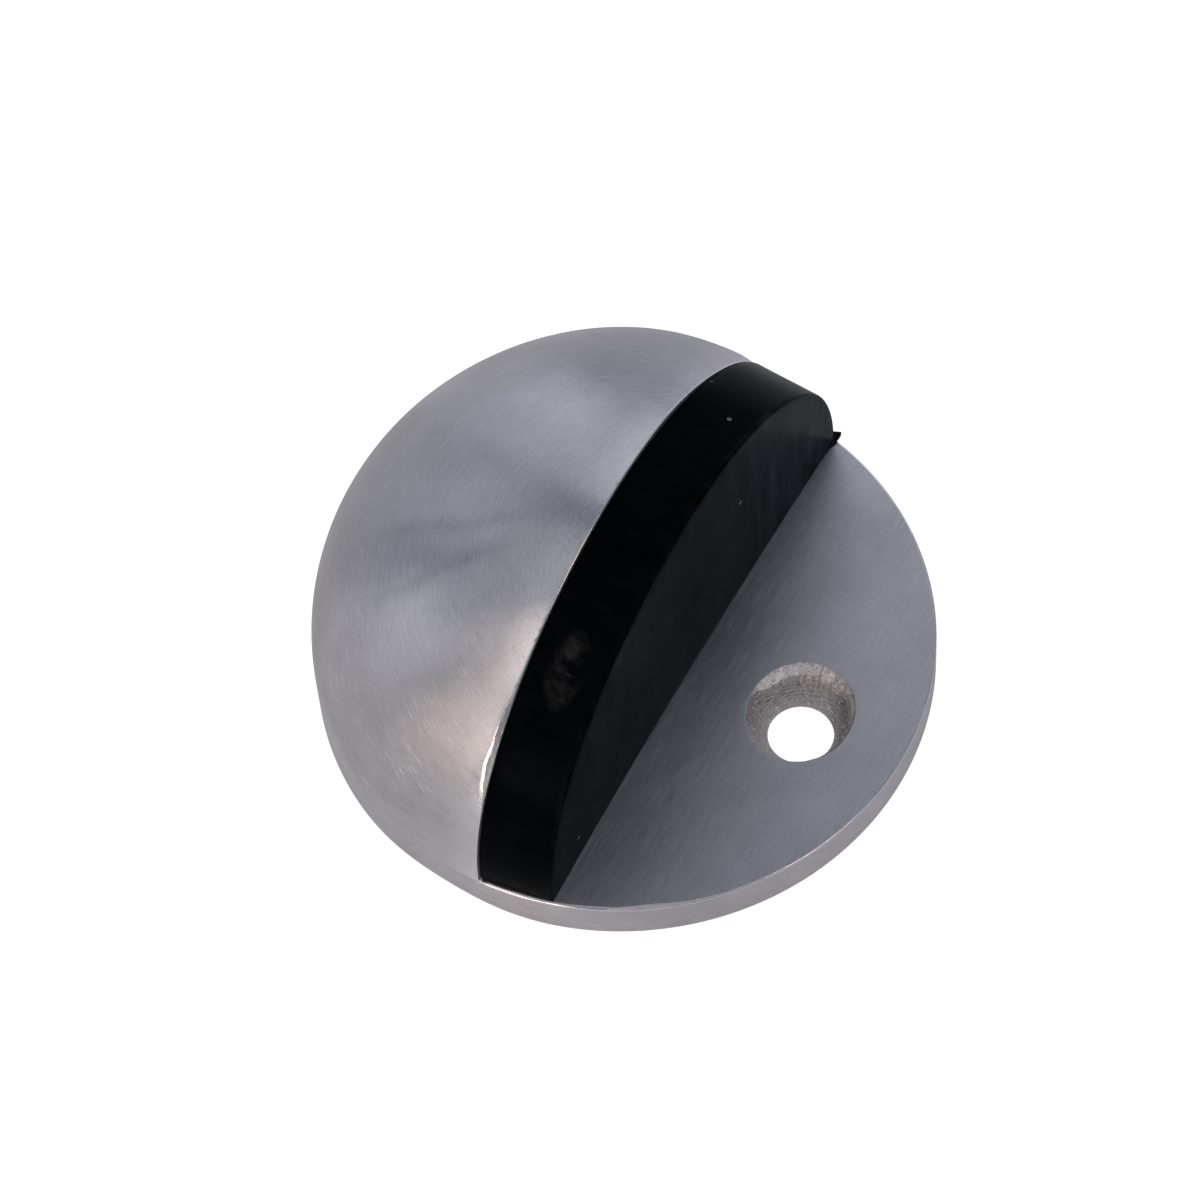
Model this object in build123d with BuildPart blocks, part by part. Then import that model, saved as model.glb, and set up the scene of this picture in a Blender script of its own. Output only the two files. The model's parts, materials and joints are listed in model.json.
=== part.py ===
"""Half-moon floor door stop: a cored casting, a moulded buffer and a locating pin.

The origin is the centre of the round foot, on the floor. +X points at the door and +Z is up.
The stop is symmetrical about the XZ plane. All sizes are in millimetres.
"""
from build123d import *
import os

# Casting: a round foot that carries half a dome at -X and a flat plate at +X.
BASE_RADIUS = 22.5
TOTAL_HEIGHT = 24.0
RIM_HEIGHT = 4.3
PLATE_THICKNESS = 3.5
CUT_X = 0.5
EDGE_RADIUS = 0.3
FOOT_CHAMFER = 0.3

# Countersunk fixing hole through the plate.
HOLE_X = 14.3
HOLE_RADIUS = 2.4
COUNTERSINK_RADIUS = 4.0
COUNTERSINK_ANGLE = 55

# Cored underside: an even wall, one web in the middle and a boss for the pin.
WALL = 3.0
WEB_THICKNESS = 2.4
WEB_FOOT = 3.0
BOSS_X = -11.0
BOSS_RADIUS = 5.0

# Locating pin: a slightly larger grip is pressed into the boss, and the rest stands out below the foot.
PIN_RADIUS = 2.5
PIN_GRIP_RADIUS = 2.7
PIN_GRIP_LENGTH = 8.0
PIN_HOLE_DEPTH = 8.5
PIN_PROJECTION = 5.0
PIN_CHAMFER = 0.5

# Buffer: its outline follows the cut through the dome and narrows towards the door.
BUFFER_THICKNESS = 5.5
BUFFER_BACK_INSET = 0.3
BUFFER_FRONT_INSET = 1.1
BUFFER_FRONT_DROP = 0.6
BUFFER_EDGE_RADIUS = 0.4

# Two moulded pegs hold the buffer: each passes through the cut wall and ends in a larger head.
PEG_Y = 8.0
PEG_Z = 11.0
PEG_RADIUS = 2.4
PEG_HOLE_RADIUS = 2.5
PEG_HEAD_RADIUS = 3.4
PEG_HEAD_LENGTH = 2.2
PEG_HEAD_CHAMFER = 0.9
PEG_HEAD_GAP = 0.1

# Sizes that follow from the ones above.
CORE_X = CUT_X - WALL
BUFFER_FRONT_X = CUT_X + BUFFER_THICKNESS
BACK_HALF_WIDTH = BASE_RADIUS - BUFFER_BACK_INSET
BACK_TOP = TOTAL_HEIGHT - BUFFER_BACK_INSET
FRONT_HALF_WIDTH = BASE_RADIUS - BUFFER_FRONT_INSET
FRONT_TOP = TOTAL_HEIGHT - BUFFER_FRONT_DROP
HEAD_X = CORE_X - PEG_HEAD_GAP

os.makedirs("parts", exist_ok=True)

# Half dome: an upright rim with a quarter ellipse above it, cut off in front of the centre.
with BuildPart() as dome:
    with BuildSketch(Plane.YZ):
        with BuildLine():
            Polyline((0, TOTAL_HEIGHT), (0, 0), (BASE_RADIUS, 0), (BASE_RADIUS, RIM_HEIGHT))
            EllipticalCenterArc((0, RIM_HEIGHT), BASE_RADIUS, TOTAL_HEIGHT - RIM_HEIGHT, arc_size=90)
        make_face()
    revolve(axis=Axis.Z)
    split(bisect_by=Plane.YZ.offset(CUT_X), keep=Keep.BOTTOM)

# Core: the hollow under the dome, less the web and the boss that stay in metal.
with BuildPart() as core:
    with BuildSketch(Plane.YZ):
        with BuildLine():
            Polyline(
                (0, TOTAL_HEIGHT - WALL),
                (0, 0),
                (BASE_RADIUS - WALL, 0),
                (BASE_RADIUS - WALL, RIM_HEIGHT),
            )
            EllipticalCenterArc(
                (0, RIM_HEIGHT),
                BASE_RADIUS - WALL,
                TOTAL_HEIGHT - WALL - RIM_HEIGHT,
                arc_size=90,
            )
        make_face()
    revolve(axis=Axis.Z)
    split(bisect_by=Plane.YZ.offset(CORE_X), keep=Keep.BOTTOM)
    with BuildSketch(Plane.XY.offset(WEB_FOOT)):
        Rectangle(2 * BASE_RADIUS, WEB_THICKNESS)
    extrude(amount=TOTAL_HEIGHT, mode=Mode.SUBTRACT)
    with BuildSketch(Plane.XY):
        with Locations((BOSS_X, 0)):
            Circle(BOSS_RADIUS)
    extrude(amount=TOTAL_HEIGHT, mode=Mode.SUBTRACT)

with BuildPart() as body:
    with BuildSketch(Plane.XY):
        Circle(BASE_RADIUS)
    extrude(amount=PLATE_THICKNESS)
    fillet(body.edges().group_by(Axis.Z)[-1], EDGE_RADIUS)
    add(dome.part)
    chamfer(body.faces().sort_by(Axis.Z)[0].edges(), FOOT_CHAMFER)
    add(core.part, mode=Mode.SUBTRACT)
    with Locations((HOLE_X, 0, PLATE_THICKNESS)):
        CounterSinkHole(HOLE_RADIUS, COUNTERSINK_RADIUS, counter_sink_angle=COUNTERSINK_ANGLE)
    with BuildSketch(Plane.XY):
        with Locations((BOSS_X, 0)):
            Circle(PIN_GRIP_RADIUS)
    extrude(amount=PIN_HOLE_DEPTH, mode=Mode.SUBTRACT)
    with BuildSketch(Plane.YZ.offset(CORE_X)):
        with Locations((-PEG_Y, PEG_Z), (PEG_Y, PEG_Z)):
            Circle(PEG_HOLE_RADIUS)
    extrude(amount=WALL, mode=Mode.SUBTRACT)
body.part.label = "body"
export_step(body.part, "parts/body.step")

with BuildPart() as rubber_buffer:
    for plane_x, half_width, top in (
        (CUT_X, BACK_HALF_WIDTH, BACK_TOP),
        (BUFFER_FRONT_X, FRONT_HALF_WIDTH, FRONT_TOP),
    ):
        with BuildSketch(Plane.YZ.offset(plane_x)):
            with BuildLine():
                Polyline(
                    (-half_width, RIM_HEIGHT),
                    (-half_width, PLATE_THICKNESS),
                    (half_width, PLATE_THICKNESS),
                    (half_width, RIM_HEIGHT),
                )
                EllipticalCenterArc((0, RIM_HEIGHT), half_width, top - RIM_HEIGHT, arc_size=180)
            make_face()
    loft()
    front_face = rubber_buffer.faces().sort_by(Axis.X)[-1]
    fillet(front_face.edges().sort_by(Axis.Z)[1:], BUFFER_EDGE_RADIUS)
    with BuildSketch(Plane.YZ.offset(HEAD_X)):
        with Locations((-PEG_Y, PEG_Z), (PEG_Y, PEG_Z)):
            Circle(PEG_RADIUS)
    extrude(amount=CUT_X - HEAD_X)
    with BuildSketch(Plane.YZ.offset(HEAD_X)):
        with Locations((-PEG_Y, PEG_Z), (PEG_Y, PEG_Z)):
            Circle(PEG_HEAD_RADIUS)
    extrude(amount=-PEG_HEAD_LENGTH)
    chamfer(rubber_buffer.edges().group_by(Axis.X)[0], PEG_HEAD_CHAMFER)
rubber_buffer.part.label = "rubber_buffer"
export_step(rubber_buffer.part, "parts/rubber_buffer.step")

with BuildPart() as locating_pin:
    with BuildSketch(Plane.XY.offset(-PIN_PROJECTION)):
        with Locations((BOSS_X, 0)):
            Circle(PIN_RADIUS)
    extrude(amount=PIN_PROJECTION)
    with BuildSketch(Plane.XY):
        with Locations((BOSS_X, 0)):
            Circle(PIN_GRIP_RADIUS)
    extrude(amount=PIN_GRIP_LENGTH)
    chamfer(locating_pin.edges().group_by(Axis.Z)[0], PIN_CHAMFER)
    chamfer(locating_pin.edges().group_by(Axis.Z)[-1], PIN_CHAMFER)
locating_pin.part.label = "locating_pin"
export_step(locating_pin.part, "parts/locating_pin.step")
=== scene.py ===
import json
from math import acos, copysign, cos, degrees, exp, hypot, pi, radians, sin, sqrt, tan

import bmesh
import bpy
from mathutils import Matrix, Vector, noise
from mathutils.geometry import delaunay_2d_cdt


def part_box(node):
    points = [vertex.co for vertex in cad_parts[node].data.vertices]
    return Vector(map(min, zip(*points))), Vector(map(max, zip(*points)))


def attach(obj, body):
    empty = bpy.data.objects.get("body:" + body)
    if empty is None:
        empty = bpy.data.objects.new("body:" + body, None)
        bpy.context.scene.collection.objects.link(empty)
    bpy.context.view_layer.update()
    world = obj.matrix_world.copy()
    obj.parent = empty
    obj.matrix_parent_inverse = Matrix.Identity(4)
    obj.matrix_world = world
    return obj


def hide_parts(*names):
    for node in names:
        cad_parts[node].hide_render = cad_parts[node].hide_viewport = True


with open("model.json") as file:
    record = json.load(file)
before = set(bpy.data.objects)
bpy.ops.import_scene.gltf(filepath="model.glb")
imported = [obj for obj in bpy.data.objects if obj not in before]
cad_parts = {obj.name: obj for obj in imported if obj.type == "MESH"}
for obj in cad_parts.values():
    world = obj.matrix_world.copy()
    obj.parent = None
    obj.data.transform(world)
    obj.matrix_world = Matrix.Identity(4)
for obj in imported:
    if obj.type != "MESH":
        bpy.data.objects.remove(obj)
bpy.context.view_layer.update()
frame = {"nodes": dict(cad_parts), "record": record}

# The half-moon door stop is meshed in millimetres, in the frame's own axes, and written in metres.
MM = 0.001

# ------------------------------------------------------------------ sizes, from the frame
body_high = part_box("body")[1] / MM
rubber_low, rubber_high = [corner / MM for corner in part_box("rubber_buffer")]
pin_low, pin_high = [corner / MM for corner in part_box("locating_pin")]
mounts = {mount["name"]: mount for mount in frame["record"]["mounts"]}

RADIUS = body_high.x
HEIGHT = body_high.z
PLATE_TOP = rubber_low.z
FRONT_X = rubber_high.x
HOLE_X = mounts["fixing_hole"]["pos_m"][0] / MM
HOLE_RADIUS = mounts["fixing_hole"]["dims"]["r_mm"]
PIN_X = (pin_low.x + pin_high.x) / 2
PIN_GRIP_RADIUS = (pin_high.x - pin_low.x) / 2

# Sizes that the frame's boxes don't give, as in the CAD design.
BUFFER_THICKNESS = 5.5
CUT_X = FRONT_X - BUFFER_THICKNESS
RIM_HEIGHT = 4.3
WALL = 3.0
FOOT_CHAMFER = 0.3
WEB_THICKNESS = 2.4
WEB_FOOT = 3.0
BOSS_RADIUS = 5.0
PIN_HOLE_DEPTH = 8.5
PEG_Y = 8.0
PEG_Z = 11.0
PEG_RADIUS = 2.4
PEG_HOLE_RADIUS = 2.5
PEG_HEAD_RADIUS = 3.4
PEG_HEAD_LENGTH = 2.2
PEG_HEAD_CHAMFER = 0.9

CUT_ANGLE = acos(CUT_X / RADIUS)
CUT_HALF_WIDTH = RADIUS * sin(CUT_ANGLE)


# ------------------------------------------------------------------ small helpers
def spread(start, end, count):
    """count evenly spaced numbers from start to end, both included."""
    return [start + (end - start) * i / (count - 1) for i in range(count)]


def smooth(low, high, value):
    """0 below low, 1 above high and a smooth step between."""
    share = min(max((value - low) / (high - low), 0.0), 1.0)
    return share * share * (3 - 2 * share)


def bump(centre, width, value):
    """1 at centre, falling smoothly to nothing about width away."""
    return exp(-(((value - centre) / width) ** 2))


def turn_from(start, angle):
    """From a start in degrees to an angle in radians, the short way round, in radians."""
    return (angle - radians(start) + pi) % (2 * pi) - pi


def wave(x, y, z, size, seed=0.0):
    """Smooth noise between about -1 and 1, whose features are about size millimetres."""
    return noise.noise(Vector((x / size + seed, y / size - seed, z / size + 2 * seed)))


def dome_height(distance):
    """Height of the dome at a distance from its axis: a quarter ellipse above the rim."""
    share = min(distance / RADIUS, 1.0)
    return RIM_HEIGHT + (HEIGHT - RIM_HEIGHT) * sqrt(1 - share * share)


class Shell:
    """Collects the patches of one closed surface and welds them into a mesh."""

    WELD = 0.002
    SHARP_DEGREES = 32

    def __init__(self):
        self.bm = bmesh.new()

    def patch(self, rows, material=0, closed=False):
        """Quads between neighbouring rows of points. A closed row's last point joins its first."""
        grid = [[self.bm.verts.new(point) for point in row] for row in rows]
        for near, far in zip(grid, grid[1:]):
            count = len(near)
            for i in range(count if closed else count - 1):
                j = (i + 1) % count
                face = self.bm.faces.new((near[i], near[j], far[j], far[i]))
                face.material_index = material

    def sheet(self, outline, holes, place, spacing=None, material=0):
        """Fills a flat outline, less its holes, with triangles. place turns 2-D points into 3-D ones."""
        points, edges = [], []
        for loop in [outline] + holes:
            first = len(points)
            points += [Vector(point) for point in loop]
            edges += [(first + i, first + (i + 1) % len(loop)) for i in range(len(loop))]
        if spacing:
            points += inner_points(outline, holes, spacing)
        flat, _, faces, *_ = delaunay_2d_cdt(points, edges, [], 1, 1e-5)
        verts = [self.bm.verts.new(place(point.x, point.y)) for point in flat]
        for corners in faces:
            middle = sum((flat[i] for i in corners), Vector((0, 0))) / len(corners)
            if inside(middle, outline) and not any(inside(middle, hole) for hole in holes):
                face = self.bm.faces.new([verts[i] for i in corners])
                face.material_index = material

    def build(self, name):
        """Welds the patches, turns every face outwards and makes the object, in metres."""
        bm = self.bm
        bmesh.ops.remove_doubles(bm, verts=bm.verts, dist=self.WELD)
        bmesh.ops.dissolve_degenerate(bm, edges=bm.edges, dist=self.WELD / 4)
        bmesh.ops.recalc_face_normals(bm, faces=bm.faces)
        for face in bm.faces:
            face.smooth = True
        bmesh.ops.scale(bm, vec=(MM, MM, MM), verts=bm.verts)
        mesh = bpy.data.meshes.new(name)
        bm.to_mesh(mesh)
        bm.free()
        mesh.set_sharp_from_angle(angle=radians(self.SHARP_DEGREES))
        return new_object(name, mesh)


def inside(point, loop):
    """True if a 2-D point is inside a loop of 2-D points."""
    hit = False
    for (x0, y0), (x1, y1) in zip(loop, loop[1:] + loop[:1]):
        if (y0 > point[1]) != (y1 > point[1]):
            if point[0] < x0 + (point[1] - y0) * (x1 - x0) / (y1 - y0):
                hit = not hit
    return hit


def inner_points(outline, holes, spacing):
    """A triangular lattice of points inside the outline, clear of every loop."""
    loops = [outline] + holes
    edge_points = [Vector(point) for loop in loops for point in loop]
    xs = [point[0] for point in outline]
    ys = [point[1] for point in outline]
    found = []
    row, y = 0, min(ys)
    while y < max(ys):
        x = min(xs) + (spacing / 2 if row % 2 else 0)
        while x < max(xs):
            here = Vector((x, y))
            if inside(here, outline) and not any(inside(here, hole) for hole in holes):
                if min((here - other).length_squared for other in edge_points) > (0.6 * spacing) ** 2:
                    found.append(here)
            x += spacing
        row, y = row + 1, y + spacing * sqrt(0.75)
    return found


def new_object(name, data):
    """Links a mesh, lamp or camera as an object at the origin."""
    made = bpy.data.objects.new(name, data)
    bpy.context.scene.collection.objects.link(made)
    return made


def combine(base, tool, operation="DIFFERENCE"):
    """Cuts the tool from base's mesh, or joins it on with UNION, and removes the tool."""
    modifier = base.modifiers.new("combine", "BOOLEAN")
    modifier.operation = operation
    modifier.solver = "EXACT"
    modifier.material_mode = "TRANSFER"
    modifier.object = tool
    bpy.context.view_layer.update()
    graph = bpy.context.evaluated_depsgraph_get()
    mesh = bpy.data.meshes.new_from_object(base.evaluated_get(graph), depsgraph=graph)
    base.modifiers.clear()
    base.data = mesh
    bpy.data.objects.remove(tool)


def revolved(name, profile, axis_point, axis, count=96, material=0):
    """A closed solid from a profile of (radius, distance along axis) pairs that starts and ends at 0."""
    axis = Vector(axis).normalized()
    side = axis.orthogonal().normalized()
    other = axis.cross(side)
    rows = []
    for radius, along in profile:
        ring = []
        for i in range(count):
            turn = 2 * pi * i / count
            out = side * cos(turn) + other * sin(turn)
            ring.append(Vector(axis_point) + axis * along + out * radius)
        rows.append(ring)
    shell = Shell()
    shell.patch(rows, material, closed=True)
    return shell.build(name)


# ------------------------------------------------------------------ body: shape
# Material slots of the casting.
BRUSHED_ROUND, BRUSHED_STRAIGHT, TURNED, BURNISHED, MACHINED, CAST, CHIPPED, SOFTENED = range(8)

DOME_COLUMNS = 200
DOME_ROWS = 130
PLATE_COLUMNS = 200
DOME_ANGLES = spread(CUT_ANGLE, 2 * pi - CUT_ANGLE, DOME_COLUMNS)
PLATE_ANGLES = spread(-CUT_ANGLE, CUT_ANGLE, PLATE_COLUMNS)
CHORD = spread(CUT_HALF_WIDTH, -CUT_HALF_WIDTH, 90)
RIM_LOW = PLATE_TOP - 0.75
RIM_ROLL = 0.14
# The plate's near end is worn most, about here. Angles are round the foot, in degrees from +X.
WORN_AT = -57
WORN_FROM = -65
WORN_TO = -49
FOOT_GROUND_AT = -97
# The break along the dome's cut edge, its chipped stretch (in Y) and how steep the chips are.
EDGE_BREAK = 0.09
CHIPPED_FROM = -21.0
CHIPPED_TO = -15.4
CHIP_FADE = 1.2
CHIP_SLOPE = 0.4
# How deep the dome's far end is ground down, broadly and close to the cut.
FAR_WEAR = 0.42
FAR_EDGE_WEAR = 0.20


def rim_point(angle, inset, height):
    reach = RADIUS - inset
    return Vector((reach * cos(angle), reach * sin(angle), height))


def rim_roll(angle):
    """Radius of the plate's worn top edge. It is uneven, and runs out where the dome starts."""
    worn = RIM_ROLL * (1 + 0.25 * wave(angle * 6, 3.1, 0, 1))
    worn += 0.20 * bump(radians(WORN_AT), radians(6), angle)
    worn += 0.08 * (1 - smooth(radians(-68), radians(-62), angle))
    return worn * smooth(0, radians(2), CUT_ANGLE - abs(angle))


def foot_round(angle):
    """Radius of the foot's edge. It is ground back where the dome's near end meets the floor."""
    return FOOT_CHAMFER + 0.85 * bump(0, radians(13), turn_from(FOOT_GROUND_AT, angle))


def foot_rows(angles, top):
    """Rows from the foot's flat, round its edge and up the rim to a height."""
    rows = []
    for share in spread(0, 1, 5):
        turn = share * pi / 2
        row = []
        for angle in angles:
            size = foot_round(angle)
            row.append(rim_point(angle, size * (1 - sin(turn)), size * (1 - cos(turn))))
        rows.append(row)
    for share in spread(0, 1, 5)[1:]:
        row = []
        for angle in angles:
            size = foot_round(angle)
            row.append(rim_point(angle, 0, size + (top - size) * share))
        rows.append(row)
    return rows


def far_wear(point):
    """How far the dome's far end is ground down towards the cut."""
    along = smooth(6, 17, point.y) * smooth(RIM_HEIGHT, RIM_HEIGHT + 4, point.z)
    away = CUT_X - point.x
    return along * (FAR_WEAR * bump(0, 5.5, away) + FAR_EDGE_WEAR * bump(0, 0.9, away))


def edge_break(y, z):
    """Width of the break along the dome's cut edge. One stretch is chipped to rough facets."""
    chipped = smooth(CHIPPED_FROM, CHIPPED_FROM + CHIP_FADE, y)
    chipped *= 1 - smooth(CHIPPED_TO - CHIP_FADE, CHIPPED_TO, y)
    nicks = 0.29 + 0.12 * wave(y, z, 0, 1.1, 4) + 0.05 * wave(y, z, 0, 0.4, 9)
    burr = 0.05 * max(0.0, wave(y, z, 0, 0.6, 2))
    width = EDGE_BREAK + burr + chipped * nicks
    return width * smooth(PLATE_TOP, PLATE_TOP + 1.0, z)


def dent(point):
    """How far hand finishing has left the dome's skin off its true shape."""
    x, y, z = point
    return 0.018 * wave(x, y, z, 9, 5) + 0.006 * wave(x, y, z, 3.2, 8)


def slide(point):
    """Moves a point on the dome back from the cut, so that the edge break has room."""
    width = edge_break(point.y, point.z)
    reach = 6 * width + 0.3
    away = CUT_X - point.x
    if away >= reach:
        return point
    x = point.x - width * (1 - away / reach)
    radius = hypot(point.x, point.y)
    if radius > RADIUS / 2:
        return Vector((x, copysign(sqrt(radius * radius - x * x), point.y), point.z))
    return Vector((x, point.y, dome_height(hypot(x, point.y))))


def dome_skin():
    """Rows of points over the dome: up the rim from the plate's level, then over to the top of the cut."""
    peak = Vector((CUT_X, 0))
    rim_heights = spread(PLATE_TOP, RIM_HEIGHT, 5)
    rows = [[slide(rim_point(angle, 0, height)) for angle in DOME_ANGLES] for height in rim_heights]
    for tilt in spread(pi / 2, 0, DOME_ROWS)[1:]:
        row = []
        for angle in DOME_ANGLES:
            flat = peak + (rim_point(angle, 0, 0).xy - peak) * sin(tilt)
            row.append(slide(Vector((flat.x, flat.y, dome_height(flat.length)))))
        rows.append(row)
    for row in rows[len(rim_heights):]:
        for point in row:
            normal = Vector((point.x, point.y, (point.z - RIM_HEIGHT) * 1.3)).normalized()
            share = smooth(0, 2.5, CUT_X - point.x) * smooth(0, 2, point.z - RIM_HEIGHT)
            point += normal * dent(point) * share
            point -= Vector((0, normal.y, normal.z)) * far_wear(point)
    return rows


def cut_edge(rows):
    """The dome's edge from one end of the cut to the other, each with its direction out of the cut."""
    edge = [row[0] for row in rows] + [row[-1] for row in reversed(rows[:-1])]
    outward = []
    for point in edge:
        rise = max(point.z - RIM_HEIGHT, 0) * (RADIUS / (HEIGHT - RIM_HEIGHT)) ** 2
        outward.append(Vector((0, point.y, rise)).normalized())
    return edge, outward


def break_rows(edge, outward):
    """Rows of points down the edge break, from the dome's skin to the flat of the cut.

    A narrow break is rounded over. A wide, chipped one is a rough flat facet.
    """
    rows = [edge]
    for share in (0.10, 0.24, 0.42, 0.62, 0.82, 1.0):
        turn = share * pi / 2
        row = []
        for point, out in zip(edge, outward):
            width = CUT_X - point.x
            flat = smooth(0.14, 0.24, width)
            rough = 0.05 * flat * sin(pi * share) * wave(point.y, point.z, share * 0.4, 0.3, 7)
            step = width * (sin(turn) * (1 - flat) + share * flat)
            drop = width * ((1 - cos(turn)) * (1 - flat) + CHIP_SLOPE * share * flat) + rough
            row.append(point + Vector((step, 0, 0)) - out * drop)
        rows.append(row)
    for point in rows[-1]:
        point.x = CUT_X
    return rows


# Countersink: drilled a little off the vertical, with a torn lip on its far side.
MOUTH_SHIFT = Vector((0.0, -0.02))
MOUTH_HALF_X = 3.78
MOUTH_HALF_Y = 4.12
MOUTH_EDGE = 0.05
MOUTH_GUARD = 0.07
# Width and depth of the lip where it isn't torn, and where it is.
PLAIN_LIP = 0.06
LIP_WIDTH = 0.75
LIP_DROP = 0.43
LIP_TURN = 118
LAND_HEIGHT = 0.25
HOLE_COLUMNS = 220
LIP_ROWS = 9
HOLE_ROWS = 40


def lip_share(turn):
    """How much of the torn lip is left at a turn round the hole: all on the far side, none on the near."""
    return 1 - smooth(radians(40), radians(72), abs(turn_from(LIP_TURN, turn)))


def mouth_point(turn, grow):
    """A point on the countersink's slightly ragged mouth."""
    here = Vector((cos(turn), sin(turn)))
    ragged = 0.08 * wave(here.x, here.y, 0, 0.22, 3) + 0.05 * wave(here.x, here.y, 0, 0.09, 6)
    ragged *= 0.25 + 0.75 * lip_share(turn)
    half_x = MOUTH_HALF_X + grow + ragged
    half_y = MOUTH_HALF_Y + grow + ragged
    return Vector((HOLE_X, 0)) + MOUTH_SHIFT + Vector((half_x * here.x, half_y * here.y))


def countersink_rows():
    """Rings from the plate's top over the lip and down the machined cone to the foot."""
    turns = [2 * pi * i / HOLE_COLUMNS for i in range(HOLE_COLUMNS)]
    rings = [[on_plate(*mouth_point(turn, MOUTH_EDGE + MOUTH_GUARD)) for turn in turns]]
    for row in range(LIP_ROWS + 1):
        share = row / LIP_ROWS
        ring = []
        for turn in turns:
            lip = lip_share(turn)
            ragged = 0.09 * wave(cos(turn), sin(turn), 0, 0.07, 12)
            width = PLAIN_LIP + (LIP_WIDTH - PLAIN_LIP + ragged) * lip
            drop = PLAIN_LIP + (LIP_DROP - PLAIN_LIP) * lip
            x, y = mouth_point(turn, MOUTH_EDGE - width * share)
            torn = 0.06 * wave(x, y, 0, 0.32, 8) + 0.07 * wave(x, y, 0, 0.15, 4)
            fall = drop * share ** 1.3 - torn * lip * sin(pi * share)
            ring.append(Vector((x, y, plate_height(x, y) - max(fall, 0.0))))
        rings.append(ring)
    edge = rings[-1]
    for row in range(1, HOLE_ROWS + 1):
        share = row / HOLE_ROWS
        fade = sin(pi * share)
        ring = []
        for turn, start in zip(turns, edge):
            land = Vector((HOLE_X + HOLE_RADIUS * cos(turn), HOLE_RADIUS * sin(turn), LAND_HEIGHT))
            point = start.lerp(land, share)
            grooves = 0.016 * sin(share * 55 + 2 * wave(point.x, point.y, 0, 2, 1))
            grain = 0.05 * wave(*point, 0.28, 5) + 0.03 * wave(*point, 0.9, 2)
            away = Vector((cos(turn), sin(turn), 0))
            ring.append(point + away * (grooves + grain) * fade)
        rings.append(ring)
    rings.append([Vector((point.x, point.y, 0)) for point in rings[-1]])
    return rings


def plate_height(x, y):
    """Height of the plate's polished top, which falls away a little at the rim and round the hole."""
    to_rim = RADIUS - hypot(x, y)
    fall = 0.03 * exp(-max(to_rim, 0) / 0.9)
    ends = smooth(0, 2.0, x - CUT_X)
    return PLATE_TOP - fall * ends + 0.006 * wave(x, y, 0, 6, 3) * ends


def on_plate(x, y):
    return Vector((x, y, plate_height(x, y)))


def patch_rim(shell):
    """The foot's rounded edge and the rim, up to where the dome and the plate's rolled edge start."""
    for angles in (DOME_ANGLES, PLATE_ANGLES):
        shell.patch(foot_rows(angles, RIM_LOW), TURNED)
    shell.patch([[rim_point(a, 0, z) for a in DOME_ANGLES] for z in (RIM_LOW, PLATE_TOP)], TURNED)


def patch_dome(shell):
    """The dome and the break along its cut edge. Returns the break's last row, on the flat of the cut."""
    skin = dome_skin()
    shell.patch(skin, BRUSHED_ROUND)
    edge, outward = cut_edge(skin)
    broken = break_rows(edge, outward)
    chipped = [i for i, point in enumerate(edge) if CHIPPED_FROM < point.y < CHIPPED_TO]
    first, last = chipped[0], chipped[-1]
    for start, end in ((0, first), (last, len(edge) - 1)):
        shell.patch([row[start:end + 1] for row in broken], BURNISHED)
    for rows, finish in ((broken[:2], BURNISHED), (broken[1:], CHIPPED)):
        shell.patch([row[first:last + 1] for row in rows], finish)
    return broken[-1]


def patch_rim_roll(shell):
    """The plate's rolled edge. Returns the row of points where the flat plate starts."""
    roll = [[rim_point(angle, 0, RIM_LOW) for angle in PLATE_ANGLES]]
    for share in spread(0, 1, 6):
        turn = share * pi / 2
        row = []
        for angle in PLATE_ANGLES:
            size = rim_roll(angle)
            top = rim_point(angle, size, 0)
            height = plate_height(top.x, top.y) - size * (1 - sin(turn))
            row.append(rim_point(angle, size * (1 - cos(turn)), height))
        roll.append(row)
    shell.patch(roll[:2], TURNED)
    worn = [i for i, angle in enumerate(PLATE_ANGLES) if WORN_FROM < degrees(angle) < WORN_TO]
    ends = (0, worn[0], worn[-1], PLATE_COLUMNS - 1)
    for start, end, finish in zip(ends, ends[1:], (BURNISHED, SOFTENED, BURNISHED)):
        shell.patch([row[start:end + 1] for row in roll[1:]], finish)
    guard = [on_plate(*rim_point(angle, 1.4 * rim_roll(angle), 0).xy) for angle in PLATE_ANGLES]
    shell.patch([roll[-1], guard], BRUSHED_STRAIGHT)
    return guard


def patch_plate(shell, border):
    """The plate's top inside its border, and the countersunk hole. Returns the hole's ring at the foot."""
    rings = countersink_rows()
    chord = [Vector((CUT_X, y)) for y in CHORD[1:-1]]
    outline = [point.xy for point in border] + chord
    mouth = [point.xy for point in rings[0]]
    shell.sheet(outline, [mouth], on_plate, spacing=0.55, material=BRUSHED_STRAIGHT)
    shell.patch(rings[:2], BRUSHED_STRAIGHT, closed=True)
    shell.patch(rings[1:], MACHINED, closed=True)
    return rings[-1]


def make_body():
    """The casting, before it is hollowed out."""
    shell = Shell()
    patch_rim(shell)
    wall_edge = patch_dome(shell)
    border = patch_rim_roll(shell)
    hole = patch_plate(shell, border)
    wall = [point.yz for point in wall_edge] + [Vector((y, PLATE_TOP)) for y in CHORD[-2:0:-1]]
    shell.sheet(wall, [], lambda y, z: Vector((CUT_X, y, z)), material=CAST)
    foot = [rim_point(angle, foot_round(angle), 0).xy for angle in PLATE_ANGLES + DOME_ANGLES[1:-1]]
    shell.sheet(foot, [[point.xy for point in hole]], lambda x, y: Vector((x, y, 0)), material=CAST)
    return shell.build("body_casting")


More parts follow.
